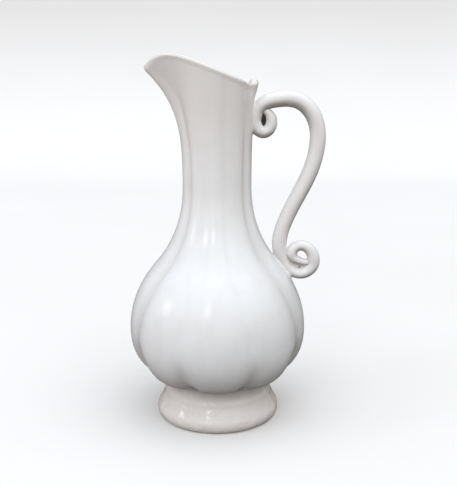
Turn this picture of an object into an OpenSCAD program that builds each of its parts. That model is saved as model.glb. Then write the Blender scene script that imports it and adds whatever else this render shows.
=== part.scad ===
// Ceramic ewer: flared foot, lobed globular body, lobed neck with a beak spout, and a scroll handle.
// Millimetres, +Z up. The origin is the centre of the foot's underside, on the axis of the vessel.
// The spout points along -X and the handle stands on the +X side.

/* [Foot] */
// Height of the body's underside above the table
foot_h = 35; // [28:1:45]
// Widest radius of the foot
foot_r = 62.2; // [58:0.2:75]
// Radius of the foot's rounded edge
foot_edge_r = 8; // [5:0.5:10]
// Radius at which the body stands on the foot
waist_r = 51; // [44:0.5:54]
// Wall of the foot where it meets the body
foot_wall = 8; // [5:0.5:12]
// Width of the flat ring that stands on the table
stand_w = 8; // [5:0.5:12]
// Thickness of the slip between foot and body
foot_slip = 1.2; // [0.6:0.1:2.5]

/* [Body] */
// Radius of the belly over a lobe
belly_r = 87.6; // [75:0.2:100]
// Height of the belly's widest line
belly_z = 91; // [80:1:105]
// How far round its quarter ellipse the belly has turned under where it meets the foot
belly_turn = 0.986; // [0.9:0.001:0.99]
// Radius of the shoulder, where its slope is steepest
shoulder_r = 62.3; // [52:0.1:70]
// Height of the shoulder
shoulder_z = 156; // [140:1:170]
// Slope of the shoulder, as radius lost for each millimetre of height
shoulder_slope = 0.85; // [0.5:0.01:1.1]
// Wall of the body and of the lower neck
wall = 6; // [4:0.1:8]
// Thickness of the body's floor
floor_t = 7; // [5:0.5:12]

/* [Lobes] */
// Depth of the creases just above the foot
low_crease = 6.2; // [3:0.1:8]
// Depth of the creases beside the spout and handle at the belly
belly_crease = 3.2; // [1.5:0.1:5]
// Depth of those creases on the neck
neck_crease = 2.6; // [1:0.1:4]
// Depth of those creases at the rim
rim_crease = 1.8; // [0.5:0.1:3]
// Depth of the front and back creases above the belly, as a share of the ones beside spout and handle
front_crease = 0.4; // [0.2:0.05:1]
// Height over which the creases deepen above the foot
crease_rise = 9; // [6:1:20]
// Half angle of the lobes towards spout and handle, on the belly
side_low = 22; // [18:0.5:28]
// Half angle of the lobes towards spout and handle, on the neck
side_high = 36; // [24:0.5:40]
// Half angle of the front and back lobes, on the belly
front_low = 22.5; // [18:0.5:28]
// Half angle of the front and back lobes, on the neck
front_high = 12.5; // [10:0.5:24]
// Softness of the creases, from sharp to round
crease_soft = 0.22; // [0.05:0.01:0.6]

/* [Neck] */
// Radius of the neck at its narrowest, over a lobe
neck_r = 33.5; // [28:0.1:40]
// Height of the neck's narrowest line
neck_z = 235; // [215:1:250]
// Height of the joint between body and neck above the shoulder
seam_rise = 36; // [24:1:50]
// Thickness of the slip between body and neck
neck_slip = 1.5; // [0.6:0.1:3]
// Mean height of the rim
rim_z = 345.8; // [330:0.2:375]
// Rise of the rim towards the spout, and its fall towards the handle
rim_fall = 15; // [5:0.5:20]
// Outward flare of the rim
rim_flare = 3.5; // [0:0.1:8]
// Thickness of the rounded rim
rim_wall = 4.6; // [3:0.1:6]

/* [Spout] */
// How far the beak reaches past the flared rim
spout_reach = 33.3; // [15:0.5:40]
// How late the beak bends outwards: a higher power bends nearer the rim
spout_bend = 3.5; // [2:0.1:5]
// Half angle of the beak at half its reach, seen from above
spout_half_angle = 10.5; // [8:0.5:16]
// How far the beak's tip dips below its side walls
tip_dip = 12.8; // [0:0.2:16]
// Half angle of that dip
tip_half_angle = 9; // [7:0.5:16]
// Half angle between the creases beside the beak's keel, at the tip
keel_half_angle = 5.5; // [4:0.5:10]
// Height of the nub on the rim over the handle
nub_h = 3.8; // [1:0.1:6]
// How far the nub rolls outwards
nub_roll = 3; // [0:0.1:4]
// Extra thickness of the nub
nub_t = 4; // [0:0.1:6]
// Height over which the nub runs out on the neck
nub_run = 18; // [8:0.5:24]
// Half angle of the nub
nub_half_angle = 12; // [8:0.5:18]

/* [Handle] */
// Depth of the upper curl's middle below the rim
curl_drop = 48.8; // [40:0.2:70]
// Distance of the upper curl's middle from the neck
curl_stand = 11; // [10.5:0.1:14]
// Width of the upper curl, between middles of the coil
curl_w = 13.6; // [13.6:0.1:18]
// Height of the upper curl, between middles of the coil
curl_h = 21.6; // [20:0.2:26]
// Clear height under the arch's crown, above the middle of the coil at the curl's top
arch_clear = 2.1; // [2:0.1:8]
// Distance of the arch's crown from the neck
arch_run = 34; // [28:0.5:44]
// Drop of the strap's widest point below the crown
arch_drop = 36; // [24:0.5:50]
// Distance of the strap's widest point from the neck
handle_reach = 62.8; // [52:0.2:80]
// Radius of the coil at the arch's crown
arch_coil_r = 7.9; // [6.5:0.1:8.4]
// Radius of the coil along the strap
strap_coil_r = 7.7; // [5.5:0.1:9]
// Radius of the coil where it lands on the shoulder
landing_coil_r = 7; // [5.5:0.1:7.2]
// Radius of the coil round the upper curl
curl_coil_r = 6.2; // [4.5:0.1:6.4]
// Radius of the upper curl's end
curl_tip_r = 4.4; // [3:0.1:4.6]

/* [Lower scroll] */
// Height of the lower scroll's middle above the shoulder
scroll_rise = 3.6; // [-4:0.2:8]
// Distance of the lower scroll's middle from the shoulder
scroll_stand = 25; // [24.6:0.2:30]
// Width of the scroll's ring, between middles of the coil
scroll_w = 26; // [26:0.2:32]
// Height of the scroll's ring, between middles of the coil
scroll_h = 30; // [29:0.2:36]
// Radius of the coil at the scroll's bottom
scroll_coil_r = 5.1; // [4:0.1:5.3]
// Radius of the coil at the scroll's top
scroll_top_r = 5.6; // [4.4:0.1:5.8]
// Radius of the scroll's inner end
scroll_tip_r = 3; // [2:0.1:3.2]
// Thickness of the web of slip under the scroll's inner end
web_t = 4; // [2:0.2:5]

/* [Slip pads] */
// Thickness of the slip under the coil at the middle of a pad
pad_t = 1.6; // [0.8:0.1:2.2]
// Thickness of a pad's feathered edge
pad_edge = 0.4; // [0.3:0.05:0.8]
// Half width of both pads
pad_half_w = 9.5; // [7:0.1:12]
// Half height of the upper pad
upper_pad_half_h = 17; // [12:0.5:20]
// Half height of the lower pad
lower_pad_half_h = 15; // [11:0.5:18]
// Drop of the lower pad's middle below the scroll's
lower_pad_drop = 3; // [0:0.5:6]
// Clearance between a pad and what it joins
seat_gap = 0.25; // [0.2:0.01:0.4]

/* [Hidden] */

glaze_white = [0.93, 0.94, 0.95];
glaze_warm = [0.88, 0.86, 0.84];
slip_white = [0.90, 0.89, 0.87];

lobes = 8;
lobe_half = 180 / lobes;
around = 64;
foot_top = foot_h - foot_slip;
seam_z = shoulder_z + seam_rise;
body_top = seam_z - neck_slip / 2;
neck_base = seam_z + neck_slip / 2;
floor_z = foot_h + floor_t;
lip_r = rim_wall / 2;

// Curves shared by all pieces

function clamp01(t) = min(max(t, 0), 1);
function mix(a, b, t) = a + (b - a) * t;
function ease(t) = let (c = clamp01(t)) c * c * (3 - 2 * c);
function angle_from(a, centre) = abs((a - centre + 540) % 360 - 180);
function bell(a, centre, half) = exp(-pow(angle_from(a, centre) / half, 2));
function peak(a, centre, half) = 1 / (1 + pow(angle_from(a, centre) / half, 2));

// Cubic from value p0 with slope m0 to value p1 with slope m1 over the length len
function hermite(p0, m0, p1, m1, len, t) =
    (2 * t * t * t - 3 * t * t + 1) * p0 + (t * t * t - 2 * t * t + t) * len * m0
    + (3 * t * t - 2 * t * t * t) * p1 + (t * t * t - t * t) * len * m1;

function bezier(p0, p1, p2, p3, t) =
    let (s = 1 - t) s * s * s * p0 + 3 * s * s * t * p1 + 3 * s * t * t * p2 + t * t * t * p3;

function on_axis(r, a, z) = [r * cos(a), r * sin(a), z];
function ellipse_point(c, w, h, a) = c + [w / 2 * cos(a), h / 2 * sin(a)];

// Outer form of the vessel

// Rise of the lower belly's quarter ellipse, 0 at the foot and 1 at the widest line
function belly_share(t) =
    let (base = sqrt(1 - belly_turn * belly_turn), d = (1 - clamp01(t)) * belly_turn)
    (sqrt(1 - d * d) - base) / (1 - base);

// Radius over the crest of a lobe, without spout and nub
function crest_r(z) =
    z < belly_z ? mix(waist_r, belly_r, belly_share((z - foot_h) / (belly_z - foot_h)))
    : z < shoulder_z ? hermite(belly_r, 0, shoulder_r, -shoulder_slope, shoulder_z - belly_z,
                               (z - belly_z) / (shoulder_z - belly_z))
    : z < neck_z ? hermite(shoulder_r, -shoulder_slope, neck_r, 0, neck_z - shoulder_z,
                           (z - shoulder_z) / (neck_z - shoulder_z))
    : neck_r + rim_flare * pow(neck_share(z), 2);

// Share of the way from the narrowest line of the neck to the mean rim
function neck_share(z) = max((z - neck_z) / (rim_z - neck_z), 0);

// Share of the way from the foot to the widest line of the belly
function belly_rise(z) = ease((z - foot_h) / (belly_z - foot_h));

function crease_depth(z) =
    z < belly_z ? mix(low_crease, belly_crease, belly_rise(z)) * ease((z - foot_h) / crease_rise)
    : z < neck_z ? mix(belly_crease, neck_crease, ease((z - belly_z) / (neck_z - belly_z)))
    : mix(neck_crease, rim_crease, clamp01(neck_share(z)));

// 0 on the crest of a lobe, 1 in the crease between two lobes. The creases that bound the front and back
// lobes fade above the foot.
function crease_share(p, z) =
    let (top = sqrt(1 + crease_soft * crease_soft),
         wave = sqrt(pow(cos(p * lobes / 2), 2) + crease_soft * crease_soft),
         fade = angle_from(2 * p, 180) < 90 ? mix(1, front_crease, belly_rise(z)) : 1)
    fade * (top - wave) / (top - crease_soft);

function spout_out(a, z) = spout_reach * pow(neck_share(z), spout_bend) * peak(a, 180, spout_half_angle);
function nub_share(a, z) =
    ease(1 + (z - rim_z + rim_fall) / nub_run) * bell(a, 0, nub_half_angle);

// Half angles of the lobes at a level. From belly to neck the lobes towards spout and handle spread and the
// front and back ones narrow. Towards the rim the spout's lobe is drawn into the beak's keel.
spread_start = mix(foot_h, belly_z, 0.625);
spread_end = mix(shoulder_z, seam_z, 2 / 3);
draw_start = 0.2;
draw_span = 0.85;
function spread(z) = ease((z - spread_start) / (spread_end - spread_start));
function side_half(z) = mix(side_low, side_high, spread(z));
function front_half(z) = mix(front_low, front_high, spread(z));
function keel_half(z) = mix(side_half(z), keel_half_angle, ease((neck_share(z) - draw_start) / draw_span));

// Angle around the axis of a point whose place in the even pattern of lobes is p
function drawn(p, z) =
    let (d = angle_from(p, 0), lane = (d - lobe_half) / (2 * lobe_half), f = front_half(z),
         e = lane < 0 ? d * side_half(z) / lobe_half
             : lane < 1 ? mix(side_half(z), 90 - f, lane)
             : lane < 2 ? mix(90 - f, 90 + f, lane - 1)
             : lane < 3 ? mix(90 + f, 180 - keel_half(z), lane - 2)
             : 180 - (180 - d) * keel_half(z) / lobe_half)
    (p + 360) % 360 < 180 ? e : 360 - e;

// Place in the pattern of an angle on the handle's side
function place_of(a, z) =
    let (s = side_half(z), d = abs(a), beside = (d - s) / (90 - front_half(z) - s))
    sign(a) * lobe_half * (d < s ? d / s : 1 + 2 * beside);

function outer_r(p, z) =
    let (a = drawn(p, z))
    crest_r(z) + spout_out(a, z) + nub_roll * nub_share(a, z) - crease_depth(z) * crease_share(p, z);

// Wall over the height, thinning from the shoulder to the rim and thick at the nub
function wall_at(a, z) =
    mix(wall, rim_wall, ease((z - shoulder_z) / (rim_z - rim_fall - shoulder_z))) + nub_t * nub_share(a, z);

// Point on the outside at a level, and the point inside it across a wall square to the outline there
function outside_at(p, z) = on_axis(outer_r(p, z), drawn(p, z), z);
function inside_at(p, z) =
    let (step = 0.5, run = outside_at(p + step, z) - outside_at(p - step, z),
         w = wall_at(drawn(p, z), z) / norm(run))
    outside_at(p, z) + w * [-run.y, run.x, 0];

// Height of the rim's top at each angle
function rim_height(a) =
    rim_z - rim_fall * cos(a) - tip_dip * bell(a, 180, tip_half_angle) + nub_h * bell(a, 0, nub_half_angle);

// Meshes of rows of points around the axis

function ring_places(n) = [for (k = [0 : n - 1]) 360 * k / n];
ring_angles = ring_places(around);

// Two triangles for each cell between row i and row j, n points to a row
function band(i, j, n) = [
    for (k = [0 : n - 1])
        let (a = i * n + k, b = i * n + (k + 1) % n, c = j * n + (k + 1) % n, d = j * n + k)
        each [[a, d, c], [a, c, b]]
];
function bands(rows, n) = [for (i = [0 : rows - 2]) each band(i, i + 1, n)];
function fan(row, n, pole, up) = [
    for (k = [0 : n - 1])
        let (a = row * n + k, b = row * n + (k + 1) % n)
        up ? [pole, b, a] : [pole, a, b]
];
function flat_list(rows) = [for (row = rows) each row];

// Rows in a closed loop, as for a tube or a ring
module loop_solid(rows) {
    n = len(rows[0]);
    polyhedron(points = flat_list(rows), faces = concat(bands(len(rows), n), band(len(rows) - 1, 0, n)));
}

// Rows closed by a pole at each end
module capped_solid(rows, first_pole, last_pole) {
    n = len(rows[0]);
    count = len(rows);
    polyhedron(points = concat(flat_list(rows), [first_pole, last_pole]),
               faces = concat(bands(count, n), fan(0, n, count * n, false),
                              fan(count - 1, n, count * n + 1, true)));
}

// Foot: a revolved flare with a rounded edge, hollow underneath

foot_around = 96;
edge_turn = 30;
edge_steps = 10;
cove_steps = 8;
edge_mid = [foot_r - foot_edge_r, foot_edge_r];
cove_start = edge_mid + foot_edge_r * [cos(edge_turn), sin(edge_turn)];
cove_end = [waist_r, foot_top];
cove_pull = (foot_top - cove_start.y) / 2;
foot_edge = [for (k = [0 : edge_steps])
    let (a = mix(-90, edge_turn, k / edge_steps)) edge_mid + foot_edge_r * [cos(a), sin(a)]];
foot_cove = [for (k = [1 : cove_steps])
    bezier(cove_start, cove_start + cove_pull * [-tan(edge_turn), 1] * 2 / 3,
           cove_end - [0, cove_pull * 2 / 3], cove_end, k / cove_steps)];

module foot() {
    inside_low = [edge_mid.x - stand_w, 0];
    inside_top = [waist_r - foot_wall, foot_top];
    color(glaze_warm)
        rotate_extrude($fn = foot_around)
            polygon(concat([inside_low], foot_edge, foot_cove, [inside_top]));
}

module foot_slip_ring() {
    bead_steps = 6;
    bead = [for (k = [0 : bead_steps])
        let (a = mix(-90, 90, k / bead_steps))
        [waist_r + foot_slip / 2 * cos(a), foot_top + foot_slip / 2 * (1 + sin(a))]];
    color(slip_white)
        rotate_extrude($fn = foot_around)
            polygon(concat([[waist_r - foot_wall, foot_top]], bead, [[waist_r - foot_wall, foot_h]]));
}

// Body: a lobed shell, open at the shoulder and closed by a floor

belly_rows = 8;
shoulder_rows = 10;
inner_belly_rows = 5;
inner_shoulder_rows = 6;

// Heights that divide the lower belly's quarter ellipse into equal turns, from the level low upwards
function belly_heights(low, rows) = [for (k = [0 : rows - 1])
    belly_z - (belly_z - low) / belly_turn * sin(asin(belly_turn) * (1 - k / rows))];
function shoulder_heights(rows) = [for (k = [0 : rows]) mix(belly_z, body_top, k / rows)];

// The lower belly's inside is the outside's curve, lifted to stand on the floor
function lifted(z) =
    z < belly_z ? mix(foot_h, belly_z, (z - floor_z) / (belly_z - floor_z)) : z;
function inside_lifted(a, z) = let (p = inside_at(a, lifted(z))) [p.x, p.y, z];

module body() {
    outside = [for (z = concat(belly_heights(foot_h, belly_rows), shoulder_heights(shoulder_rows)))
        [for (a = ring_angles) outside_at(a, z)]];
    levels = concat(belly_heights(floor_z, inner_belly_rows), shoulder_heights(inner_shoulder_rows));
    inside = [for (k = [len(levels) - 1 : -1 : 0]) [for (a = ring_angles) inside_lifted(a, levels[k])]];
    color(glaze_white)
        capped_solid(concat(outside, inside), [0, 0, foot_h], [0, 0, floor_z]);
}

// The slip stands a little proud inside, where no tool reaches it
module shoulder_slip_ring() {
    proud = 1 - neck_slip / 2 / outer_r(0, seam_z);
    function outside(z) = [for (a = ring_angles) outside_at(a, z)];
    function inside(z) = [for (a = ring_angles) inside_at(a, z)];
    bead = [for (p = inside(seam_z)) [p.x * proud, p.y * proud, p.z]];
    color(slip_white)
        loop_solid([outside(body_top), outside(neck_base), inside(neck_base), bead, inside(body_top)]);
}

// Neck: a lobed tube that opens into the spout under a rounded, falling rim

neck_rows = 20;
inner_neck_rows = 10;
lip_steps = 5;
rim_start = 0.4;
neck_around = 80;
neck_places = ring_places(neck_around);

// Height along one side of the neck: level rows below, following the rim at the top
function neck_height(p, u) =
    mix(neck_base, rim_z - lip_r, u)
    + (rim_height(drawn(p, rim_z)) - rim_z) * ease((u - rim_start) / (1 - rim_start));

// Point on the rounded lip, turned from the outside over the top to the inside. It leans with the wall.
function lip_at(p, turn) =
    let (z = neck_height(p, 1), q = outside_at(p, z), half = (q - inside_at(p, z)) / 2,
         lean = q - outside_at(p, z - lip_r))
    q - half + half * cos(turn) + lean * norm(half) / norm(lean) * sin(turn);

module neck() {
    outside = [for (k = [0 : neck_rows])
        [for (p = neck_places) outside_at(p, neck_height(p, k / neck_rows))]];
    lip = [for (k = [1 : lip_steps - 1]) [for (p = neck_places) lip_at(p, 180 * k / lip_steps)]];
    inside = [for (k = [inner_neck_rows : -1 : 0])
        [for (p = neck_places) inside_at(p, neck_height(p, k / inner_neck_rows))]];
    color(glaze_warm)
        loop_solid(concat(outside, lip, inside));
}

// Handle: one tapering coil, swept along arcs and curves in the plane of spout and handle

curl_z = rim_z - curl_drop;
scroll_z = shoulder_z + scroll_rise;
neck_back = outer_r(0, curl_z);
curl_mid = [neck_back + curl_stand, curl_z];
crown = [neck_back + arch_run, curl_z + curl_h / 2 + arch_clear + arch_coil_r];
strap_side = [neck_back + handle_reach, crown.y - arch_drop];
scroll_mid = [outer_r(0, scroll_z) + scroll_stand, scroll_z];
scroll_low = scroll_mid - [0, scroll_h / 2];

// Turns at which the curl's end, its root on the neck and the scroll's inner end leave their ellipses
curl_tip_a = 30;
curl_root_a = -205;
scroll_turn_a = 115;
curl_root = ellipse_point(curl_mid, curl_w, curl_h, curl_root_a);
scroll_turn = ellipse_point(scroll_mid, scroll_w, scroll_h, scroll_turn_a);

// The strap lands beside the scroll's last turn, and the inner end stops short of the turn round it
scroll_side = scroll_w * 0.335;
landing = scroll_mid + [-scroll_side - scroll_top_r - landing_coil_r, scroll_h * 0.55];
tip_room = scroll_w * 0.48 - scroll_coil_r - 2 * seat_gap;
scroll_tip = scroll_mid + [tip_room - scroll_tip_r, -scroll_h * 0.1];

// Pulls of the curves between those points, as [x, z]
root_pull = curl_h * [0.05, 0.44];
crown_pull = [arch_run * 0.62, 0];
strap_len = strap_side.y - landing.y;
side_pull = [0, strap_len * 0.42];
landing_pull = [0, strap_len * 0.34];
foot_pull = [0, scroll_h * 0.62];
low_pull = [scroll_w * 0.5, 0];
turn_pull = [scroll_w * 0.22, scroll_h * 0.1];
inner_pull = [scroll_w * 0.39, scroll_h * 0.05];

// Points [x, z, radius of the coil] from the upper curl's end to the scroll's inner end
curl_steps = 20;
root_steps = 9;
arch_steps = 12;
strap_steps = 16;
foot_steps = 10;
ring_steps = 18;
inner_steps = 9;
function steps(n) = [for (k = [1 : n]) k / n];
function with_r(p, r) = [p.x, p.y, r];
curl_part = [for (t = concat([0], steps(curl_steps)))
    with_r(ellipse_point(curl_mid, curl_w, curl_h, mix(curl_tip_a, curl_root_a, t)),
           mix(curl_tip_r, curl_coil_r, ease(2 * t)))];
root_part = [for (t = steps(root_steps))
    with_r(bezier(curl_root, curl_root + root_pull, crown - crown_pull, crown, t),
           mix(curl_coil_r, arch_coil_r, ease(t)))];
arch_part = [for (t = steps(arch_steps))
    with_r([mix(crown.x, strap_side.x, sin(90 * t)), mix(strap_side.y, crown.y, cos(90 * t))],
           mix(arch_coil_r, strap_coil_r, ease(t)))];
strap_part = [for (t = steps(strap_steps))
    with_r(bezier(strap_side, strap_side - side_pull, landing + landing_pull, landing, t),
           mix(strap_coil_r, landing_coil_r, t * t))];
foot_part = [for (t = steps(foot_steps))
    with_r(bezier(landing, landing - foot_pull, scroll_low - low_pull, scroll_low, t),
           mix(landing_coil_r, scroll_coil_r, ease(2 * t)))];
ring_part = [for (t = steps(ring_steps))
    with_r(ellipse_point(scroll_mid, scroll_w, scroll_h, mix(-90, scroll_turn_a, t)),
           mix(scroll_coil_r, scroll_top_r, ease(t)))];
inner_part = [for (t = steps(inner_steps))
    with_r(bezier(scroll_turn, scroll_turn - turn_pull, scroll_mid - inner_pull, scroll_tip, t),
           mix(scroll_top_r, scroll_tip_r, t * t))];
coil = concat(curl_part, root_part, arch_part, strap_part, foot_part, ring_part, inner_part);

// Slip pads: [height of the middle, half height, half angle]
function pad(z, half_h) = [z, half_h, pad_half_w / outer_r(0, z) * 180 / PI];
upper_pad = pad(curl_z, upper_pad_half_h);
lower_pad = pad(scroll_z - lower_pad_drop, lower_pad_half_h);

function pad_share(p, a, z) = pow((z - p[0]) / p[1], 2) + pow(angle_from(a, 0) / p[2], 2);
function pad_rise(p, a, z) =
    let (s = pad_share(p, a, z)) s < 1 ? seat_gap + pad_edge + (pad_t - pad_edge) * pow(1 - s, 2) : 0;

// Surface that the coil lies on: the vessel, or the pad on it, and a clearance
function seat_r(a, z) =
    outer_r(place_of(a, z), z) + max(pad_rise(upper_pad, a, z), pad_rise(lower_pad, a, z)) + seat_gap;
function seated(p) =
    let (a = atan2(p.y, p.x), r = norm([p.x, p.y]), low = seat_r(a, p.z))
    r < low ? on_axis(low, a, p.z) : p;

coil_sides = 16;
cap_steps = 4;
function coil_dir(k) =
    let (a = coil[max(k - 1, 0)], b = coil[min(k + 1, len(coil) - 1)], d = [b.x - a.x, b.y - a.y])
    d / norm(d);

// Bend of the coil's middle as 1 / radius, positive to the left of its run
function coil_bend(k) =
    let (i = min(max(k, 1), len(coil) - 2), a = coil[i - 1], b = coil[i], c = coil[i + 1],
         u = [b.x - a.x, b.y - a.y], v = [c.x - b.x, c.y - b.y])
    2 * (u.x * v.y - u.y * v.x) / (norm(u) * norm(v) * norm(u + v));

// The inside of a bend is squeezed flat where the coil is thicker than the bend's radius
bend_limit = 0.9;
function squeezed(c, bend) = c * bend > bend_limit ? bend_limit / bend : c;

// One ring of the coil: moved by ahead along its direction, its radius scaled by share
function coil_ring(k, ahead, share) =
    let (p = coil[k], d = coil_dir(k), bend = coil_bend(k), r = p.z * share, m = [p.x, p.y] + d * ahead)
    [for (s = [0 : coil_sides - 1])
        let (c = squeezed(r * cos(360 * s / coil_sides), bend), b = r * sin(360 * s / coil_sides))
        seated([m.x - d.y * c, b, m.y + d.x * c])];
function coil_end(k, way) = let (p = coil[k], m = [p.x, p.y] + coil_dir(k) * way * p.z) [m.x, 0, m.y];

module handle() {
    last = len(coil) - 1;
    start_cap = [for (k = [1 : cap_steps - 1])
        let (a = 90 * k / cap_steps) coil_ring(0, -coil[0].z * cos(a), sin(a))];
    end_cap = [for (k = [cap_steps - 1 : -1 : 1])
        let (a = 90 * k / cap_steps) coil_ring(last, coil[last].z * cos(a), sin(a))];
    rings = [for (k = [0 : last]) coil_ring(k, 0, 1)];
    color(glaze_white)
        capped_solid(concat(start_cap, rings, end_cap), coil_end(0, -1), coil_end(last, 1));
}

// A pad of slip, feathered at its edge, that follows the lobe under the coil
module slip_pad(p) {
    rows = 5;
    sides = 24;
    function spot(share, turn) = [p[2] * share * cos(turn), p[0] + p[1] * share * sin(turn)];
    function face(share, lift) = [for (k = [0 : sides - 1])
        let (q = spot(share, 360 * k / sides), a = q.x, z = q.y)
        on_axis(outer_r(place_of(a, z), z) + seat_gap + lift, a, z)];
    function rise(share) = pad_edge + (pad_t - pad_edge) * pow(1 - share * share, 2);
    back = [for (k = [1 : rows]) face(k / rows, 0)];
    front = [for (k = [rows : -1 : 1]) face(k / rows, rise(k / rows))];
    mid_r = outer_r(0, p[0]) + seat_gap;
    color(slip_white)
        capped_solid(concat(back, front), [mid_r, 0, p[0]], [mid_r + pad_t, 0, p[0]]);
}

module upper_handle_slip() { slip_pad(upper_pad); }
module lower_handle_slip() { slip_pad(lower_pad); }

// Web of slip in the lower scroll, between the coil's last turn and the end rolled inside it

// Point beside the coil, clear of it: way is 1 to the left of its run and -1 to the right
function beside(k, way) =
    let (p = coil[k], d = coil_dir(k)) [p.x, p.y] + way * (p.z + seat_gap) * [-d.y, d.x];

module scroll_slip() {
    // Rings of the coil along the web: before and after the scroll's bottom, and back from the coil's end
    before = 6;
    after = 2;
    back = 4;
    last = len(coil) - 1;
    bottom = last + 1 - inner_steps - ring_steps;
    below = [for (k = [bottom - before : bottom + after]) beside(k, 1)];
    above = [for (k = [last : -1 : last - back]) beside(k, -1)];
    color(slip_white)
        rotate([90, 0, 0])
            linear_extrude(height = web_t, center = true)
                polygon(concat(below, above));
}

foot();
foot_slip_ring();
body();
shoulder_slip_ring();
neck();
handle();
upper_handle_slip();
lower_handle_slip();
scroll_slip();
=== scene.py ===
import math

import bmesh
import bpy
import numpy as np
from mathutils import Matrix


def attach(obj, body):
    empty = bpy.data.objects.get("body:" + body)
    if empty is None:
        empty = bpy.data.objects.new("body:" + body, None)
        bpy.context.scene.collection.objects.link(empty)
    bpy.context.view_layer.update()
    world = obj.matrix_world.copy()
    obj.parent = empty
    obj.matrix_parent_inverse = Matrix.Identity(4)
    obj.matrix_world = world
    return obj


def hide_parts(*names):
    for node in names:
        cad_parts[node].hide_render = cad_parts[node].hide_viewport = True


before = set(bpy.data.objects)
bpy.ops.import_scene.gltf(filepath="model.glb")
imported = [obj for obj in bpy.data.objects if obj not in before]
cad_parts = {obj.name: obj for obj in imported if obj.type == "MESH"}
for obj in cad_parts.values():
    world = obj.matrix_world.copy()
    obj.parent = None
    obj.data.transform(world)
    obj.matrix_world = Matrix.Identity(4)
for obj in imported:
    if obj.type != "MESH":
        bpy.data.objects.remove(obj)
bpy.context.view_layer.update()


# Foot: a ring of clay turned on the wheel, flared to the table and hollow underneath. The glaze runs
# down over it, warm and thin, and is wiped off the narrow ring of bare clay that it stands on.
foot_h = 0.040
foot_r = 0.0615
edge_w, edge_h = 0.0050, 0.0075
edge_turn = math.radians(41)
waist_r = 0.051
foot_wall = 0.008
stand_w = 0.008
foot_slip = 0.0012
foot_top = foot_h - foot_slip
ridge_z, ridge_out, ridge_half = 0.0268, 0.0005, 0.0022
wiped_h = 0.0012
foot_columns = 192


def mix(a, b, t):
    return a + (b - a) * t


def bezier(p0, p1, p2, p3, t):
    s = 1 - t
    return s**3 * p0 + 3 * s * s * t * p1 + 3 * s * t * t * p2 + t**3 * p3


def turned(profile, columns, closed):
    """A profile of (radius, height) points, spun once round the axis."""
    bm = bmesh.new()
    strip = [bm.verts.new((r, 0, z)) for r, z in profile]
    ends = strip[1:] + strip[:1] if closed else strip[1:]
    edges = [bm.edges.new(pair) for pair in zip(strip, ends)]
    bmesh.ops.spin(bm, geom=strip + edges, cent=(0, 0, 0), axis=(0, 0, 1), angle=2 * math.pi,
                   steps=columns, use_merge=True)
    return bm


def fired(bm, name, finish, sharp_deg=42):
    """The finished piece: seams and poles closed, faces outward, smooth apart from its real edges."""
    bmesh.ops.remove_doubles(bm, verts=bm.verts, dist=1e-6)
    bmesh.ops.recalc_face_normals(bm, faces=bm.faces)
    for face in bm.faces:
        face.smooth = True
    for edge in bm.edges:
        edge.smooth = edge.calc_face_angle(0.0) < math.radians(sharp_deg)
    mesh = bpy.data.meshes.new(name)
    bm.to_mesh(mesh)
    bm.free()
    mesh.materials.append(finish)
    piece = bpy.data.objects.new(name, mesh)
    bpy.context.scene.collection.objects.link(piece)
    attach(piece, "root")
    return piece


def node(tree, kind, **values):
    """A shader node with its settings and its plain inputs filled in."""
    made = tree.nodes.new(kind)
    for key, value in values.items():
        if hasattr(made, key):
            setattr(made, key, value)
        else:
            made.inputs[key.replace("_", " ")].default_value = value
    return made


def blended(tree, share, first, second):
    """Colour mixed from first to second by share. Each may be a socket or a plain colour."""
    made = node(tree, "ShaderNodeMix", data_type="RGBA")
    for socket, value in ((made.inputs[0], share), (made.inputs[6], first), (made.inputs[7], second)):
        if isinstance(value, bpy.types.NodeSocket):
            tree.links.new(value, socket)
        else:
            socket.default_value = value
    return made.outputs[2]


def ranged(tree, value, low, high, to_low, to_high):
    """A value carried softly from one span of numbers to another, and held at the ends."""
    made = node(tree, "ShaderNodeMapRange", interpolation_type="SMOOTHSTEP")
    tree.links.new(value, made.inputs[0])
    for k, number in enumerate((low, high, to_low, to_high)):
        made.inputs[k + 1].default_value = number
    return made.outputs[0]


def both(tree, first, second):
    """The share where two shares hold together."""
    made = node(tree, "ShaderNodeMath", operation="MULTIPLY")
    tree.links.new(first, made.inputs[0])
    tree.links.new(second, made.inputs[1])
    return made.outputs[0]


def dulled(tree, share, rough, dull):
    """Roughness that goes to a dull one by share."""
    made = node(tree, "ShaderNodeMix", data_type="FLOAT")
    tree.links.new(share, made.inputs[0])
    tree.links.new(rough, made.inputs[2])
    made.inputs[3].default_value = dull
    return made.outputs[0]


def noise(tree, place, scale, detail):
    made = node(tree, "ShaderNodeTexNoise", Scale=scale, Detail=detail)
    tree.links.new(place, made.inputs["Vector"])
    return made.outputs["Fac"]


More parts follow.
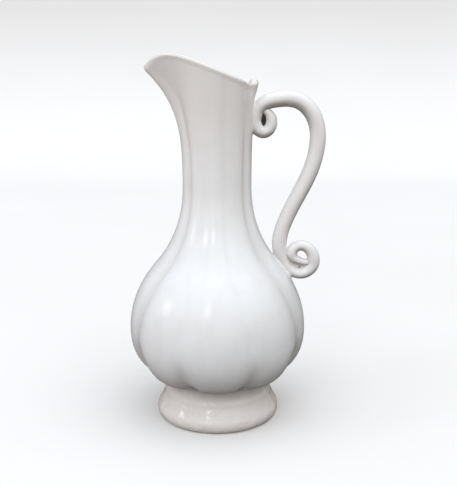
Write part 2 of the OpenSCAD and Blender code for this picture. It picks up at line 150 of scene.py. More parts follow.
def glaze(name, wave, wave_scale, gloss, bare_below=None):
    """White tin glaze: cool and thick on the belly, warmer on foot and neck, pooled in the hollows, with
    painted shade in the hollows, at the waist and underneath.
    """
    finish = bpy.data.materials.new(name)
    finish.use_nodes = True
    tree = finish.node_tree
    shader = tree.nodes["Principled BSDF"]
    place = node(tree, "ShaderNodeTexCoord").outputs["Object"]
    apart = node(tree, "ShaderNodeSeparateXYZ")
    tree.links.new(place, apart.inputs[0])
    height = apart.outputs["Z"]
    white = node(tree, "ShaderNodeAttribute", attribute_name="white").outputs["Fac"]
    pool_and_shade = node(tree, "ShaderNodeAttribute", attribute_name="hollow").outputs["Fac"]
    facing = node(tree, "ShaderNodeSeparateXYZ")
    tree.links.new(node(tree, "ShaderNodeNewGeometry").outputs["Normal"], facing.inputs[0])
    facing_up = facing.outputs["Z"]

    # The glaze by height: cool on the belly, milky over the shoulder, warm on the neck, pale on the coil.
    cool, milky = (0.80, 0.81, 0.82, 1), (0.87, 0.865, 0.86, 1)
    warm, coil_tone = (0.79, 0.755, 0.73, 1), (0.86, 0.835, 0.815, 1)
    milky_z, warm_z, coil_most = (0.175, 0.225), (0.24, 0.33), 0.7
    colour = blended(tree, ranged(tree, height, *milky_z, 0, 1), cool, milky)
    neck_warm = both(tree, ranged(tree, height, *warm_z, 0, 1), ranged(tree, white, 0, 1, 1, 0))
    colour = blended(tree, neck_warm, colour, warm)
    colour = blended(tree, ranged(tree, white, 0, 1, 0, coil_most), colour, coil_tone)

    # Painted shade: darker on both sides of the waist joint, and darker under the coil and the belly.
    foot_tone, waist_shade_tone, joint_shade_tone = (0.73, 0.69, 0.665, 1), (0.32, 0.305, 0.29, 1), (0.26, 0.25, 0.24, 1)
    coil_underside_shade_tone, belly_underside_shade_tone = (0.30, 0.26, 0.23, 1), (0.30, 0.275, 0.255, 1)
    waist_shade_z, waist_shade_most, joint_shade_z, joint_shade_most = (0.027, 0.039), 0.6, (0.043, 0.053), 0.7
    coil_underside_shade_up, coil_underside_shade_most = (-0.65, 0.02), 0.8
    belly_underside_shade_up, belly_underside_shade_z, belly_underside_shade_most = (-0.8, 0.02), (foot_h, 0.10), 0.25
    if bare_below is not None:
        # Painted shade on the top of the foot, under the belly.
        colour = blended(tree, ranged(tree, height, *waist_shade_z, 0, waist_shade_most), foot_tone, waist_shade_tone)
    else:
        # Painted shade on the bottom of the belly and on the foot joint.
        colour = blended(tree, ranged(tree, height, *joint_shade_z, joint_shade_most, 0), colour, joint_shade_tone)
    # Painted shade on the undersides of the coil.
    coil_underside_shade = both(tree, ranged(tree, facing_up, *coil_underside_shade_up, 1, 0),
                      ranged(tree, white, 0, 1, 0, coil_underside_shade_most))
    colour = blended(tree, coil_underside_shade, colour, coil_underside_shade_tone)
    if bare_below is None:
        # Painted shade on the underside of the lower belly.
        belly_underside_shade = both(tree, ranged(tree, facing_up, *belly_underside_shade_up, 1, 0),
                           ranged(tree, height, *belly_underside_shade_z, belly_underside_shade_most, 0))
        colour = blended(tree, belly_underside_shade, colour, belly_underside_shade_tone)

    # Upright streaks where it ran in the kiln, clouds, pools in the creases with painted shade in them, the
    # eye and pinhole painted black as shade, and specks.
    streak_tone, streak_stretch, streak_scale, streak_most = (0.70, 0.68, 0.665, 1), (1, 1, 0.12), 85, 0.22
    upright = node(tree, "ShaderNodeMapping")
    upright.inputs["Scale"].default_value = streak_stretch
    tree.links.new(place, upright.inputs["Vector"])
    streak = ranged(tree, noise(tree, upright.outputs[0], streak_scale, 3), 0.45, 0.7, 0, streak_most)
    colour = blended(tree, streak, colour, streak_tone)
    cloud_tone, cloud_scale, cloud_most = (0.70, 0.665, 0.64, 1), 34, 0.2
    cloud = ranged(tree, noise(tree, place, cloud_scale, 3), 0.42, 0.72, 0, cloud_most)
    colour = blended(tree, cloud, colour, cloud_tone)
    # Painted shade in the creases and in the scroll's web, over glaze pooled in the creases.
    pool_and_shade_tone, pool_and_shade_span, pool_and_shade_most = (0.60, 0.585, 0.57, 1), (0.45, 1), 0.3
    colour = blended(tree, ranged(tree, pool_and_shade, *pool_and_shade_span, 0, pool_and_shade_most), colour, pool_and_shade_tone)
    # Painted shade: black in the curl's eye and the scroll's pinhole, and partly over the scroll's web.
    black_shade_tone, black_shade_span = (0.02, 0.017, 0.014, 1), (1.1, 2)
    colour = blended(tree, ranged(tree, pool_and_shade, *black_shade_span, 0, 1), colour, black_shade_tone)
    speck_tone, speck_scale, speck_most = (0.55, 0.49, 0.43, 1), 620, 0.2
    speck = ranged(tree, noise(tree, place, speck_scale, 2), 0.72, 0.78, 0, speck_most)
    colour = blended(tree, speck, colour, speck_tone)

    # Glossy, a little uneven, and dull where it is thin underneath.
    gloss_scale, dull_up, dull = 55, (-0.8, -0.3), 0.75
    uneven = ranged(tree, noise(tree, place, gloss_scale, 2), 0.3, 0.7, *gloss)
    rough = dulled(tree, ranged(tree, facing_up, *dull_up, 1, 0), uneven, dull)

    if bare_below is not None:
        clay_dark, clay_pale, clay_scale = (0.60, 0.52, 0.43, 1), (0.72, 0.64, 0.55, 1), 900
        clay_rough = 0.85
        bare = ranged(tree, height, bare_below * 0.6, bare_below * 1.3, 1, 0)
        clay = blended(tree, noise(tree, place, clay_scale, 4), clay_dark, clay_pale)
        colour = blended(tree, bare, colour, clay)
        rough = dulled(tree, bare, rough, clay_rough)

    # Slow waves in the thick glaze, and a fine skin over them.
    peel_share, peel_deep, peel_scale = 0.05, 0.0002, 520
    ripple = node(tree, "ShaderNodeBump", Strength=1, Distance=wave)
    tree.links.new(noise(tree, place, wave_scale, 2), ripple.inputs["Height"])
    peel = node(tree, "ShaderNodeBump", Strength=peel_share, Distance=peel_deep)
    tree.links.new(noise(tree, place, peel_scale, 2), peel.inputs["Height"])
    tree.links.new(ripple.outputs["Normal"], peel.inputs["Normal"])

    glaze_ior = 1.5
    tree.links.new(colour, shader.inputs["Base Color"])
    tree.links.new(rough, shader.inputs["Roughness"])
    tree.links.new(peel.outputs["Normal"], shader.inputs["Normal"])
    shader.inputs["IOR"].default_value = glaze_ior
    return finish


def foot_profile():
    """Outline of the foot's wall: standing ring, oval edge, cove up to the waist, hollow inside."""
    edge_mid = np.array([foot_r - edge_w, edge_h])
    edge = [edge_mid + np.array([edge_w * math.cos(a), edge_h * math.sin(a)])
            for a in np.linspace(-math.pi / 2, edge_turn, 28)]
    start, flare = edge[-1], edge_w / edge_h * math.tan(edge_turn)
    end = np.array([waist_r, foot_top])
    pull = (end[1] - start[1]) / 3
    inside_low = np.array([edge_mid[0] - stand_w, 0])
    inside_top = np.array([waist_r - foot_wall, foot_top])
    cove = [bezier(start, start + pull * np.array([-flare, 1]),
                   end - np.array([0, pull]), end, t) for t in np.linspace(0, 1, 36)[1:]]
    cove = [q + np.array([ridge_out * math.exp(-((q[1] - ridge_z) / ridge_half) ** 2), 0]) for q in cove]
    standing = [mix(inside_low, edge[0], t) for t in np.linspace(0, 1, 6)[:-1]]
    hollow = [mix(inside_top, inside_low, t) for t in np.linspace(0, 1, 16)[:-1]]
    return standing + edge + cove + hollow


foot_wave, foot_wave_scale, foot_gloss = 0.0019, 70, (0.10, 0.20)
foot_glaze = glaze("foot_glaze", foot_wave, foot_wave_scale, foot_gloss, bare_below=wiped_h)
foot = fired(turned(foot_profile(), foot_columns, True), "turned_foot", foot_glaze)
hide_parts("foot")


# Foot joint: the slip that holds the foot on the body, wiped to a soft bead under the belly and
# glazed over, so that it shows only as the line of the waist, which is painted dark as shade.
bead = [(waist_r + foot_slip / 2 * math.cos(a), foot_top + foot_slip / 2 * (1 + math.sin(a)))
        for a in np.linspace(-math.pi / 2, math.pi / 2, 13)]
joint_profile = bead + [(waist_r - foot_wall, foot_h), (waist_r - foot_wall, foot_top)]
vessel_wave, vessel_wave_scale, vessel_gloss = 0.00024, 26, (0.19, 0.26)
vessel_glaze = glaze("white_glaze", vessel_wave, vessel_wave_scale, vessel_gloss)
foot_joint = fired(turned(joint_profile, foot_columns, True), "foot_joint", vessel_glaze)
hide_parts("foot_slip_ring")


# Body: a globe of clay pressed into eight lobes, closed by a floor and open at the shoulder. The
# creases between the lobes start in scallops above the foot, and the white glaze pools in them, painted
# darker as shade.
belly_r = 0.0876
belly_z = 0.091
belly_turn = 0.99
belly_full = 2.2
shoulder_r = 0.0623
shoulder_z = 0.156
shoulder_slope = 0.85
wall = 0.006
floor_t = 0.007
floor_z = foot_h + floor_t
lobes = 8
lobe_half = 180 / lobes
low_crease = 0.0140
belly_crease = 0.0032
neck_crease = 0.0026
rim_crease = 0.0018
front_crease = 0.4
crease_rise = 0.003
crease_soft = 0.22
side_narrow, front_narrow = 1.5, 2
front_fade = 0.020
side_low, side_high = 22, 36
front_low, front_high = 24.5, 12.5
spread_start, spread_end = 0.070, 0.180
neck_r = 0.0335
neck_z = 0.235
seam_rise = 0.036
seam_z = shoulder_z + seam_rise
neck_slip = 0.0015
body_top = seam_z - neck_slip / 2
neck_base = seam_z + neck_slip / 2
rim_z = 0.3458
rim_fall = 0.015
rim_flare = 0.0035
rim_wall = 0.0046
spout_reach = 0.0333
spout_bend = 3.5
spout_half_angle = 10.5
tip_dip = 0.0128
tip_half_angle = 9
keel_half_angle = 5.5
draw_start, draw_span = 0.2, 0.85
nub_h = 0.0038
nub_roll = 0.003
nub_t = 0.004
nub_run = 0.018
nub_half_angle = 12
body_columns = 256
low_levels, high_levels, inside_levels = 56, 64, 28
under_shares, floor_shares = (0, 0.35, 0.7), (0.75, 0.5, 0.25, 0)


def ease(t):
    c = np.clip(t, 0, 1)
    return c * c * (3 - 2 * c)


def off_angle(a, centre):
    return np.abs((a - centre + 540) % 360 - 180)


def bell(a, centre, half):
    return np.exp(-((off_angle(a, centre) / half) ** 2))


def hermite(p0, m0, p1, m1, length, t):
    return ((2 * t**3 - 3 * t * t + 1) * p0 + (t**3 - 2 * t * t + t) * length * m0
            + (3 * t * t - 2 * t**3) * p1 + (t**3 - t * t) * length * m1)


def neck_share(z):
    return np.maximum((z - neck_z) / (rim_z - neck_z), 0)


def belly_rise(z):
    return ease((z - foot_h) / (belly_z - foot_h))


def crest_r(z):
    """Radius over the crest of a lobe, from the foot to the rim."""
    base = (1 - belly_turn**belly_full) ** (1 / belly_full)
    down = (1 - np.clip((z - foot_h) / (belly_z - foot_h), 0, 1)) * belly_turn
    below = mix(waist_r, belly_r, ((1 - down**belly_full) ** (1 / belly_full) - base) / (1 - base))
    rise, run = shoulder_z - belly_z, neck_z - shoulder_z
    middle = hermite(belly_r, 0, shoulder_r, -shoulder_slope, rise, (z - belly_z) / rise)
    upper = hermite(shoulder_r, -shoulder_slope, neck_r, 0, run, (z - shoulder_z) / run)
    top = neck_r + rim_flare * neck_share(z) ** 2
    return np.where(z < belly_z, below, np.where(z < shoulder_z, middle, np.where(z < neck_z, upper, top)))


def crease_depth(z):
    low = mix(low_crease, belly_crease, belly_rise(z)) * ease((z - foot_h) / crease_rise)
    high = mix(belly_crease, neck_crease, ease((z - belly_z) / (neck_z - belly_z)))
    top = mix(neck_crease, rim_crease, np.clip(neck_share(z), 0, 1))
    return np.where(z < belly_z, low, np.where(z < neck_z, high, top))


def crease_share(p, z):
    """0 on the crest of a lobe, 1 in a crease. The front and back creases fade above the foot."""
    top = math.sqrt(1 + crease_soft**2)
    wave = np.sqrt(np.cos(np.radians(p) * lobes / 2) ** 2 + crease_soft**2)
    share = (top - wave) / (top - crease_soft)
    fade = mix(1, front_crease, ease((z - foot_h) / front_fade))
    fade = fade * mix(1, front_crease, ease((z - shoulder_z) / (neck_z - shoulder_z)))
    return np.where(off_angle(2 * p, 180) < 90, fade * share**front_narrow, share**side_narrow)


def pooled_and_shaded_at(p, z):
    """How much glaze has pooled, and how dark its shade is painted: 1 in a full crease."""
    return np.minimum(crease_share(p, z) * crease_depth(z) / belly_crease, 1)


def spread_share(z):
    return ease((z - spread_start) / (spread_end - spread_start))


def side_half(z):
    return mix(side_low, side_high, spread_share(z))


def front_half(z):
    return mix(front_low, front_high, spread_share(z))


def drawn(p, z):
    """Angle round the axis at place p of the even pattern: the beak draws the creases beside it in."""
    d = off_angle(p, 0)
    lane = (d - lobe_half) / (2 * lobe_half)
    side, front = side_half(z), front_half(z)
    keel = mix(side, keel_half_angle, ease((neck_share(z) - draw_start) / draw_span))
    turn = np.select([lane < 0, lane < 1, lane < 2, lane < 3],
                     [d * side / lobe_half, mix(side, 90 - front, lane),
                      mix(90 - front, 90 + front, lane - 1), mix(90 + front, 180 - keel, lane - 2)],
                     180 - (180 - d) * keel / lobe_half)
    return np.where((p + 360) % 360 < 180, turn, 360 - turn)


def nub_share(a, z):
    return ease(1 + (z - rim_z + rim_fall) / nub_run) * bell(a, 0, nub_half_angle)


def outer_r(p, z):
    a = drawn(p, z)
    spout = spout_reach * neck_share(z) ** spout_bend / (1 + (off_angle(a, 180) / spout_half_angle) ** 2)
    return crest_r(z) + spout + nub_roll * nub_share(a, z) - crease_depth(z) * crease_share(p, z)


def outside_at(p, z):
    a, r, z = np.radians(drawn(p, z)), outer_r(p, z), z + 0 * p
    return np.stack([r * np.cos(a), r * np.sin(a), z], axis=-1)


def outward(p, z):
    """Direction square to the outline at a level."""
    run = outside_at(p + 0.5, z) - outside_at(p - 0.5, z)
    run /= np.linalg.norm(run, axis=-1)[..., None]
    return np.stack([run[..., 1], -run[..., 0], 0 * run[..., 0]], axis=-1)


def inside_at(p, z):
    """The point across the wall, square to the outline at that level."""
    thick = mix(wall, rim_wall, ease((z - shoulder_z) / (rim_z - rim_fall - shoulder_z)))
    thick = thick + nub_t * nub_share(drawn(p, z), z)
    return outside_at(p, z) - outward(p, z) * thick[..., None]


def lobed(rows, hollow, closed):
    """Rows of points round the axis, laid on a spun tube. The hollow value of each point, which sets its
    painted shade, goes with it.
    """
    count, columns = rows.shape[:2]
    bm = turned([(1, k) for k in range(count)], columns, closed)
    pool_shade_layer = bm.verts.layers.float.new("hollow")
    for vert in bm.verts:
        k = round(vert.co.z)
        c = round(math.atan2(vert.co.y, vert.co.x) / (2 * math.pi) * columns) % columns
        vert.co = rows[k, c]
        vert[pool_shade_layer] = hollow[k, c]
    return bm


def disc_rows(ring, middle_z, shares):
    middle = np.array([0, 0, middle_z])
    return [mix(middle, ring, s) for s in shares]


around = np.arange(body_columns) * 360 / body_columns
turns = np.sin(math.asin(belly_turn) * (1 - np.linspace(0, 1, low_levels)[:-1]))
outer_levels = np.concatenate([belly_z - (belly_z - foot_h) / belly_turn * turns,
                               np.linspace(belly_z, body_top, high_levels)])
inner_levels = np.concatenate([belly_z - (belly_z - floor_z) / belly_turn * turns[::2],
                               np.linspace(belly_z, body_top, inside_levels)])
outer_rows = [outside_at(around, z) for z in outer_levels]
inner_rows = []
for z in inner_levels[::-1]:
    source = mix(foot_h, belly_z, (z - floor_z) / (belly_z - floor_z)) if z < belly_z else z
    ring = inside_at(around, source)
    ring[:, 2] = z
    inner_rows.append(ring)
under_rows = disc_rows(outer_rows[0], foot_h, under_shares)
floor_rows = disc_rows(inner_rows[-1], floor_z, floor_shares)
body_rows = np.array(under_rows + outer_rows + inner_rows + floor_rows)
levels = np.concatenate([np.full(len(under_rows), foot_h), outer_levels, inner_levels[::-1],
                         np.full(len(floor_rows), floor_z)])
body_pool_shade = pooled_and_shaded_at(around[None], levels[:, None])
body = fired(lobed(body_rows, body_pool_shade, False), "lobed_body", vessel_glaze)
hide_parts("body")


# Shoulder joint: the slip that joins body and neck, wiped flush outside under the glaze and left
# as a low bead inside, where no tool reaches.
joint_in = inside_at(around, seam_z)
joint_in[:, :2] *= 1 - neck_slip / 2 / waist_r
shoulder_rows = np.array([outside_at(around, z) for z in np.linspace(body_top, neck_base, 4)]
                         + [inside_at(around, neck_base), joint_in, inside_at(around, body_top)])
shoulder_pool_shade = np.tile(pooled_and_shaded_at(around, seam_z), (len(shoulder_rows), 1))
shoulder_joint = fired(lobed(shoulder_rows, shoulder_pool_shade, True), "shoulder_joint", vessel_glaze)
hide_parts("shoulder_slip_ring")


# Neck: a lobed tube of clay, drawn out by hand into a beak with a narrow keel. The rim is rolled
# over to a bead, falls from the beak to the handle and ends there in a small knob.
neck_columns = 320
lip_r = rim_wall / 2
lip_roll, lip_run = 0.0005, 0.0045
nose_in, nose_run, nose_half_angle = 0.0023, 0.0043, 10
rim_start = 0.4
near_rim, neck_levels, near_levels = 0.97, 116, 16
lip_turns = 19


def rim_height(a):
    return (rim_z - rim_fall * np.cos(np.radians(a)) - tip_dip * bell(a, 180, tip_half_angle)
            + nub_h * bell(a, 0, nub_half_angle))


def neck_height(p, u):
    rise = ease((u - rim_start) / (1 - rim_start))
    return mix(neck_base, rim_z - lip_r, u) + (rim_height(drawn(p, rim_z)) - rim_z) * rise


def nosed(p, u):
    """How far the beak's tip is rounded over at a height."""
    z = neck_height(p, u)
    near = np.clip(1 - (neck_height(p, 1) - z) / nose_run, 0, 1)
    return nose_in * near**2 * bell(drawn(p, z), 180, nose_half_angle)


def rolled_out(p, u):
    """The neck's outside, with the roll of the rim's bead and the rounded tip."""
    z = neck_height(p, u)
    roll = lip_roll * (1 - ease((neck_height(p, 1) - z) / lip_run)) - nosed(p, u)
    return outside_at(p, z) + outward(p, z) * roll[..., None]


def rolled_in(p, u):
    z = neck_height(p, u)
    return inside_at(p, z) - outward(p, z) * nosed(p, u)[..., None] / 2


places = np.arange(neck_columns) * 360 / neck_columns
neck_up = np.concatenate([np.linspace(0, near_rim, neck_levels), np.linspace(near_rim, 1, near_levels)[1:]])
neck_out = [rolled_out(places, u) for u in neck_up]
neck_in = [rolled_in(places, u) for u in neck_up[::-3]]
lip_half = (neck_out[-1] - neck_in[0]) / 2
lip_w = np.linalg.norm(lip_half, axis=1)[:, None]
lean = neck_out[-1] - neck_out[-3]
lean -= lip_half * np.sum(lean * lip_half, axis=1)[:, None] / lip_w**2
lean *= lip_w / np.linalg.norm(lean, axis=1)[:, None]
lip = [neck_out[-1] - lip_half + lip_half * math.cos(a) + lean * math.sin(a)
       for a in np.linspace(0, math.pi, lip_turns)[1:-1]]
neck_rows = np.array(neck_out + lip + neck_in)
neck_pool_shade = pooled_and_shaded_at(places[None], neck_rows[:, :, 2])
neck = fired(lobed(neck_rows, neck_pool_shade, True), "beaked_neck", vessel_glaze, sharp_deg=60)
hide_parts("neck")


# Handle: one tapering coil of clay, rolled by hand. It curls up on the neck, arches over, runs down
# as an S and rolls into a scroll on the shoulder, its thin end tucked inside.
coil_sides = 48
coil_step = 0.0009
coil_sunk = 0.0004
bend_limit = 0.93
curl_places = [(47.8, 305.6, 3.8), (50.7, 302.4, 4.6), (52.4, 298.0, 5.3), (52.2, 293.0, 5.6),
               (49.6, 288.2, 5.8), (45.0, 285.9, 5.9), (40.6, 287.6, 6.0), (37.6, 292.0, 6.1),
               (36.5, 297.0, 6.1), (37.2, 301.8, 6.2)]
arch_places = [(39.0, 306.9, 6.3), (42.7, 311.4, 6.7), (48.8, 314.8, 7.2), (57.4, 317.0, 7.7),
               (68.6, 317.8, 7.9), (77.5, 316.0, 7.9), (85.5, 310.9, 7.8), (91.9, 303.0, 7.8),
               (96.0, 292.9, 7.7)]
strap_places = [(97.4, 281.8, 7.7), (95.9, 266.0, 7.7), (92.0, 251.6, 7.7), (86.5, 238.3, 7.6),
                (80.2, 225.8, 7.5), (73.9, 213.6, 7.4), (68.3, 201.5, 7.3), (63.7, 189.1, 7.3),
                (61.6, 176.1, 7.3)]
scroll_places = [(63.0, 165.4, 6.6), (66.4, 157.0, 5.6), (71.2, 150.3, 5.2), (77.0, 146.4, 5.1),
                 (83.6, 145.2, 5.2), (91.0, 148.0, 5.5), (95.8, 154.2, 5.8), (95.9, 161.4, 6.1),
                 (93.0, 168.4, 5.7), (87.6, 173.0, 5.3), (81.4, 173.9, 5.2), (76.4, 171.2, 5.4),
                 (74.0, 166.4, 5.6), (75.8, 161.6, 4.9), (80.2, 159.0, 4.1), (85.0, 157.3, 3.6),
                 (88.8, 156.8, 3.5)]


def through(line, step):
    """A smooth line through places of (x, z, radius of the coil) in millimetres."""
    line = np.array(line) / 1000
    gaps = np.linalg.norm(np.diff(line[:, :2], axis=0), axis=1)
    along = np.concatenate([[0], np.cumsum(gaps)])
    slope = np.gradient(line, along, axis=0)
    at = np.linspace(0, along[-1], round(along[-1] / step) + 1)
    k = np.clip(np.searchsorted(along, at, side="right") - 1, 0, len(gaps) - 1)
    share = ((at - along[k]) / gaps[k])[:, None]
    return hermite(line[k], slope[k], line[k + 1], slope[k + 1], gaps[k][:, None], share)


coil = through(curl_places + arch_places + strap_places + scroll_places, coil_step)


def place_of(a, z):
    """Place in the pattern of lobes of an angle on the handle's side."""
    d, side = np.abs(a), side_half(z)
    beside = (d - side) / (90 - front_half(z) - side)
    return np.sign(a) * lobe_half * np.where(d < side, d / side, 1 + 2 * beside)


def seated(points, sunk):
    """Points of the coil that would lie in the vessel are pressed flat against it."""
    a = np.degrees(np.arctan2(points[..., 1], points[..., 0]))
    r = np.hypot(points[..., 0], points[..., 1])
    low = outer_r(place_of(a, points[..., 2]), points[..., 2]) - sunk
    grow = np.maximum(low / np.maximum(r, 1e-6), 1)[..., None]
    return points * np.concatenate([grow, grow, np.ones_like(grow)], axis=-1)


run = np.gradient(coil[:, :2], axis=0)
step = np.linalg.norm(run, axis=1)
run /= step[:, None]
bend = (run[:, 0] * np.gradient(run[:, 1]) - run[:, 1] * np.gradient(run[:, 0])) / step
ring_turn = np.arange(coil_sides) * 2 * math.pi / coil_sides


def coil_ring(k, ahead, share):
    """The coil's outline at a place, flattened inside a bend that is too tight for it."""
    x, z, r = coil[k]
    across, side = r * share * np.cos(ring_turn), r * share * np.sin(ring_turn)
    if abs(bend[k]) > 1e-6:
        limit = bend_limit / abs(bend[k])
        way = math.copysign(1, bend[k])
        across = way * np.minimum(way * across, limit)
    dx, dz = run[k]
    return np.stack([x + dx * ahead - dz * across, side, z + dz * ahead + dx * across], axis=-1)


cap = np.radians(np.linspace(0, 90, 10)[:-1])
last = len(coil) - 1
rings = ([coil_ring(0, -coil[0, 2] * math.cos(a), math.sin(a)) for a in cap]
         + [coil_ring(k, 0, 1) for k in range(len(coil))]
         + [coil_ring(last, coil[last, 2] * math.cos(a), math.sin(a)) for a in cap[::-1]])
rings = seated(np.array(rings), coil_sunk)
coil_mesh = lobed(rings, np.zeros(rings.shape[:2]), False)
whiter = coil_mesh.verts.layers.float.new("white")
for vert in coil_mesh.verts:
    vert[whiter] = 1
handle = fired(coil_mesh, "scroll_handle", vessel_glaze)
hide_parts("handle")


# Roots of the handle: slip pressed round the coil where it lies on neck and shoulder, and rubbed with
# a wet finger, so that every inner corner fills and runs out softly on coil and vessel.
cap_count = len(cap)
root_deep = 0.003
slip_sink = 0.00012
white_run = 0.004
root_columns, root_rows = 49, 65
root_grain = 0.0008
upper_low, upper_high, upper_half_place = 0.266, 0.327, 21
upper_passes = [(1, 14)]
lower_low, lower_high, lower_half_place = 0.122, 0.196, 18
lower_passes = [(1, 10), (0.161, 50), (0.149, 90)]
curl_x, curl_count, arch_x, strap_z = 0.055, 80, 0.053, 0.198
curl_span = 20


def coil_distance(points, strand):
    gap = np.full(points.shape[:-1], np.inf)
    for x, z, r in strand:
        away = np.sqrt((points[..., 0] - x) ** 2 + points[..., 1] ** 2 + (points[..., 2] - z) ** 2) - r
        gap = np.minimum(gap, away)
    return gap


def vessel_up(p, z):
    along = outside_at(p + 0.2, z) - outside_at(p - 0.2, z)
    rise = outside_at(p, z + 0.0002) - outside_at(p, z - 0.0002)
    up = np.cross(along, rise)
    return up / np.linalg.norm(up, axis=-1)[..., None]


def slab(front, back):
    """A slab of clay between two grids of points, closed round its edge."""
    rows, columns = front.shape[0] - 1, front.shape[1] - 1
    bm = bmesh.new()
    bmesh.ops.create_grid(bm, x_segments=columns, y_segments=rows, size=1)
    made = bmesh.ops.extrude_face_region(bm, geom=bm.faces[:])
    for vert in made["geom"]:
        if isinstance(vert, bmesh.types.BMVert):
            vert.co.z = 1
    for vert in bm.verts:
        c, k = round((vert.co.x + 1) / 2 * columns), round((vert.co.y + 1) / 2 * rows)
        vert.co = front[k, c] if vert.co.z > 0.5 else back[k, c]
    bmesh.ops.recalc_face_normals(bm, faces=bm.faces)
    return bm


def strand_of(first, last):
    """A stretch of the coil, closed at both ends."""
    rows = rings[cap_count + first:cap_count + last]
    ends = [np.broadcast_to(rows[k].mean(axis=0), rows[k].shape) for k in (0, -1)]
    closed_rows = np.concatenate([ends[0][None], rows, ends[1][None]])
    bm = lobed(closed_rows, np.zeros(closed_rows.shape[:2]), False)
    bmesh.ops.remove_doubles(bm, verts=bm.verts, dist=1e-7)
    bmesh.ops.recalc_face_normals(bm, faces=bm.faces)
    return bm


def rubbed(solids, grain, passes):
    """The solids joined into one skin, which is rubbed until its inner corners are filled. Each pass
    is a level, below which it rubs, and a count of strokes."""
    clay_mesh = bpy.data.meshes.new("clay")
    joined = bmesh.new()
    for solid in solids:
        solid.to_mesh(clay_mesh)
        joined.from_mesh(clay_mesh)
        solid.free()
    joined.to_mesh(clay_mesh)
    joined.free()
    clay = bpy.data.objects.new("clay", clay_mesh)
    bpy.context.scene.collection.objects.link(clay)
    skin = clay.modifiers.new("skin", "REMESH")
    skin.mode, skin.voxel_size = "VOXEL", grain
    bm = bmesh.new()
    bm.from_object(clay, bpy.context.evaluated_depsgraph_get())
    bpy.data.objects.remove(clay)
    bpy.data.meshes.remove(clay_mesh)
    for level, count in passes:
        low = [vert for vert in bm.verts if vert.co.z < level]
        for _ in range(count):
            bmesh.ops.smooth_vert(bm, verts=low, factor=0.5, use_axis_x=True, use_axis_y=True,
                                  use_axis_z=True)
    bm.normal_update()
    for vert in bm.verts:
        vert.co -= vert.normal * slip_sink
    return bm


# The hollow value of each point sets its painted shade in the glaze, the white value the coil's paler tone.
def toned(bm, name, hollow, white):
    for layer in ("hollow", "white"):
        bm.verts.layers.float.new(layer)
    pool_shade_layer, whiter = bm.verts.layers.float["hollow"], bm.verts.layers.float["white"]
    for vert, deep, pale in zip(bm.verts, hollow, white):
        vert[pool_shade_layer], vert[whiter] = deep, pale
    piece = fired(bm, name, vessel_glaze)
    return piece


def root(name, z_low, z_high, half_place, first, last, passes):
    """A patch of the vessel's skin and a stretch of the coil, rubbed into one."""
    p, z = np.meshgrid(np.linspace(-half_place, half_place, root_columns),
                       np.linspace(z_low, z_high, root_rows))
    ground = outside_at(p, z)
    patch = slab(ground, ground - vessel_up(p, z) * root_deep)
    bm = rubbed([patch, strand_of(first, last)], root_grain, passes)
    points = np.array([vert.co for vert in bm.verts])
    near = 1 - ease(coil_distance(points, coil[first:last]) / white_run)
    return toned(bm, name, 0 * near, near)


curl_low_k = int(np.argmin(np.where(coil[:, 0] < curl_x, coil[:, 1], 1)[:curl_count]))
past_curl_k = curl_low_k + curl_span
arch_k = int(np.argmax(coil[past_curl_k:, 0] > arch_x)) + past_curl_k
strap_k = int(np.argmax((coil[:, 1] < strap_z) & (np.arange(len(coil)) > arch_k)))
scroll_low_k = int(np.argmin(coil[:, 1]))
upper_root = root("upper_root", upper_low, upper_high, upper_half_place, curl_low_k - 5, arch_k, upper_passes)
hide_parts("upper_handle_slip")
lower_root = root("lower_root", lower_low, lower_high, lower_half_place, strap_k, scroll_low_k + 2,
                  lower_passes)
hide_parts("lower_handle_slip")


# Webs of the handle: slip pressed between the turns of the coil and smoothed from both sides. The
# one in the scroll is painted darker towards its middle as shade and has a pinhole painted black as
# shade; the one in the upper curl closes its deep eye and is painted black as the eye's shade.
web_columns, web_rows = 49, 33
scroll_half, scroll_grain, scroll_passes = 0.0016, 0.0006, [(1, 7)]
pit_x, pit_z, pit_r, pit_share = 0.0823, 0.1517, 0.0011, 0.85
shade_most, shade_from, shade_run = 1.35, 0.0015, 0.002
eye_half, eye_steps, painted_black = 0.0004, 30, 2.0


def spaced(line, count):
    t = np.linspace(0, len(line) - 1, count)
    return np.stack([np.interp(t, np.arange(len(line)), line[:, k]) for k in (0, 1)], axis=-1)


def web(low, high, half):
    """A slab of slip between two stretches of the coil's middle line."""
    share = np.linspace(0, 1, web_rows)[:, None, None]
    flat = mix(spaced(low, web_columns)[None], spaced(high, web_columns)[None], share)
    ground = np.stack([flat[..., 0], 0 * flat[..., 0], flat[..., 1]], axis=-1)
    side = np.array([0, half, 0])
    return slab(ground + side, ground - side)


scroll_slip = rubbed([web(coil[scroll_low_k - 22:scroll_low_k + 16], coil[-24:], scroll_half),
                      strand_of(scroll_low_k - 24, len(coil))], scroll_grain, scroll_passes)
skin_at = np.array([vert.co for vert in scroll_slip.verts])
pit = np.exp(-((skin_at[:, 0] - pit_x) ** 2 + (skin_at[:, 2] - pit_z) ** 2) / pit_r**2)
for vert, deep in zip(scroll_slip.verts, pit):
    vert.co.y *= 1 - pit_share * deep
# Painted shade: darker towards the middle of the web, and black in the pinhole.
shade = shade_most * (1 - ease((np.abs(skin_at[:, 1]) - shade_from) / shade_run))
scroll_web = toned(scroll_slip, "scroll_web", np.maximum(shade, painted_black * pit), np.ones(len(pit)))
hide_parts("scroll_slip")
eye = web(coil[curl_low_k:curl_low_k + eye_steps], coil[curl_low_k:0:-1][:eye_steps], eye_half)
eye_count = len(eye.verts)
curl_shade_web = toned(eye, "curl_shade_web", np.full(eye_count, painted_black), np.ones(eye_count))


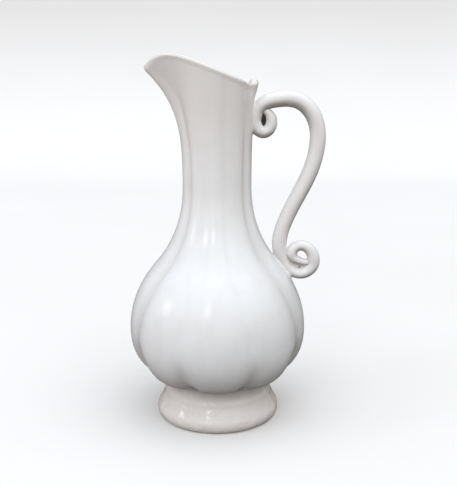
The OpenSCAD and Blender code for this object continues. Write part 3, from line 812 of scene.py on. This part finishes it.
# Table and backdrop: one pale sweep of matt board, flat under the ewer and bent up behind it. It is
# lit by the same soft daylight.
board_half, board_front, bend_start, bend_r, board_top = 5, -4, 1.6, 0.9, 4
board_dark, board_pale, board_scale = (0.80, 0.785, 0.77, 1), (0.84, 0.83, 0.82, 1), 3
board_rough = 0.9
board_bend = [(bend_start + bend_r * math.sin(a), bend_r - bend_r * math.cos(a))
              for a in np.linspace(0, math.pi / 2, 17)]
board_line = [(board_front, 0)] + board_bend + [(bend_start + bend_r, board_top)]
bm = bmesh.new()
strip = [bm.verts.new((-board_half, y, z)) for y, z in board_line]
edges = [bm.edges.new(pair) for pair in zip(strip, strip[1:])]
made = bmesh.ops.extrude_edge_only(bm, edges=edges)
far_side = [vert for vert in made["geom"] if isinstance(vert, bmesh.types.BMVert)]
bmesh.ops.translate(bm, vec=(2 * board_half, 0, 0), verts=far_side)
for face in bm.faces:
    face.smooth = True
sweep_mesh = bpy.data.meshes.new("sweep")
bm.to_mesh(sweep_mesh)
bm.free()
sweep = bpy.data.objects.new("sweep", sweep_mesh)
bpy.context.scene.collection.objects.link(sweep)
board = bpy.data.materials.new("board")
board.use_nodes = True
board_tree = board.node_tree
board_shader = board_tree.nodes["Principled BSDF"]
board_place = node(board_tree, "ShaderNodeTexCoord").outputs["Object"]
board_tone = blended(board_tree, noise(board_tree, board_place, board_scale, 3), board_dark, board_pale)
board_tree.links.new(board_tone, board_shader.inputs["Base Color"])
board_shader.inputs["Roughness"].default_value = board_rough
sweep_mesh.materials.append(board)
sweep.visible_diffuse = False
sweep.visible_glossy = False
sweep.visible_shadow = False


# Daylight of the room: soft windows high above, in front and on both sides, cool from above and warm
# near the horizon, where the room is dimmer. Each is a place (elevation, turn from the front) and a tone.
windows = [((90, 0), (0.90, 1.00, 1.12)), ((45, 0), (0.71, 0.75, 0.79)),
           ((45, -60), (0.26, 0.30, 0.33)), ((45, 60), (0.94, 0.95, 0.97)),
           ((45, 120), (0.22, 0.17, 0.12)), ((45, 180), (0.25, 0.25, 0.25)),
           ((5, 0), (0.16, 0.13, 0.10)), ((5, -50), (0.48, 0.46, 0.46)),
           ((5, 50), (0.12, 0.10, 0.07)), ((5, -100), (0.52, 0.46, 0.42))]
window_edge = 4


def toward(up_deg, turn_deg):
    """Direction of a place in the room, seen from the ewer."""
    up_a, turn_a = math.radians(up_deg), math.radians(turn_deg)
    return np.array([math.cos(up_a) * math.sin(turn_a), -math.cos(up_a) * math.cos(turn_a), math.sin(up_a)])


world = bpy.data.worlds.new("room")
bpy.context.scene.world = world
world.use_nodes = True
room = world.node_tree
way = node(room, "ShaderNodeTexCoord").outputs["Generated"]
glow = None
for window_place, window_tone in windows:
    near = node(room, "ShaderNodeVectorMath", operation="DOT_PRODUCT")
    room.links.new(way, near.inputs[0])
    near.inputs[1].default_value = toward(*window_place)
    falling = node(room, "ShaderNodeMath", operation="MULTIPLY_ADD")
    room.links.new(near.outputs["Value"], falling.inputs[0])
    falling.inputs[1].default_value, falling.inputs[2].default_value = window_edge, -window_edge
    soft = node(room, "ShaderNodeMath", operation="EXPONENT")
    room.links.new(falling.outputs[0], soft.inputs[0])
    lit = node(room, "ShaderNodeVectorMath", operation="SCALE")
    lit.inputs[0].default_value = window_tone
    room.links.new(soft.outputs[0], lit.inputs["Scale"])
    if glow is None:
        glow = lit.outputs[0]
    else:
        summed = node(room, "ShaderNodeVectorMath", operation="ADD")
        room.links.new(glow, summed.inputs[0])
        room.links.new(lit.outputs[0], summed.inputs[1])
        glow = summed.outputs[0]
room.links.new(glow, room.nodes["Background"].inputs["Color"])


# Two panes of the windows, whose gleams show in the glaze. Each has a place as above, a size and a
# strength, and looks at the middle of the ewer's lower half.
panes = [("front_pane", (29, -18), (0.24, 0.34), 1.4), ("left_pane", (20, -74), (0.30, 0.36), 1.8)]
pane_away, pane_aim_z = 1.6, 0.15
for pane_name, pane_place, pane_size, strength in panes:
    pane = bpy.data.lights.new(pane_name, "AREA")
    pane.shape, pane.energy = "RECTANGLE", strength
    pane.size, pane.size_y = pane_size
    lamp = bpy.data.objects.new(pane_name, pane)
    lamp.location = pane_away * toward(*pane_place) + np.array([0, 0, pane_aim_z])
    up_deg, turn_deg = pane_place
    lamp.rotation_euler = (math.radians(90 - up_deg), 0, math.radians(turn_deg))
    bpy.context.scene.collection.objects.link(lamp)


# Camera: in front of the ewer, level with the foot of its spout and tilted down, as in the
# photograph. Its focal length is given in picture points.
focal_points, picture_points = 784.25, 487
camera_place = (0, -0.760, 0.345)
camera_tilt, camera_turn = 0.218541, -0.0146834
lens = bpy.data.cameras.new("camera")
lens.sensor_width = 36
lens.lens = focal_points / picture_points * lens.sensor_width
camera = bpy.data.objects.new("camera", lens)
camera.location = camera_place
camera.rotation_euler = (math.pi / 2 - camera_tilt, 0, camera_turn)
bpy.context.scene.collection.objects.link(camera)
bpy.context.scene.camera = camera
bpy.context.scene.view_settings.view_transform = "Standard"
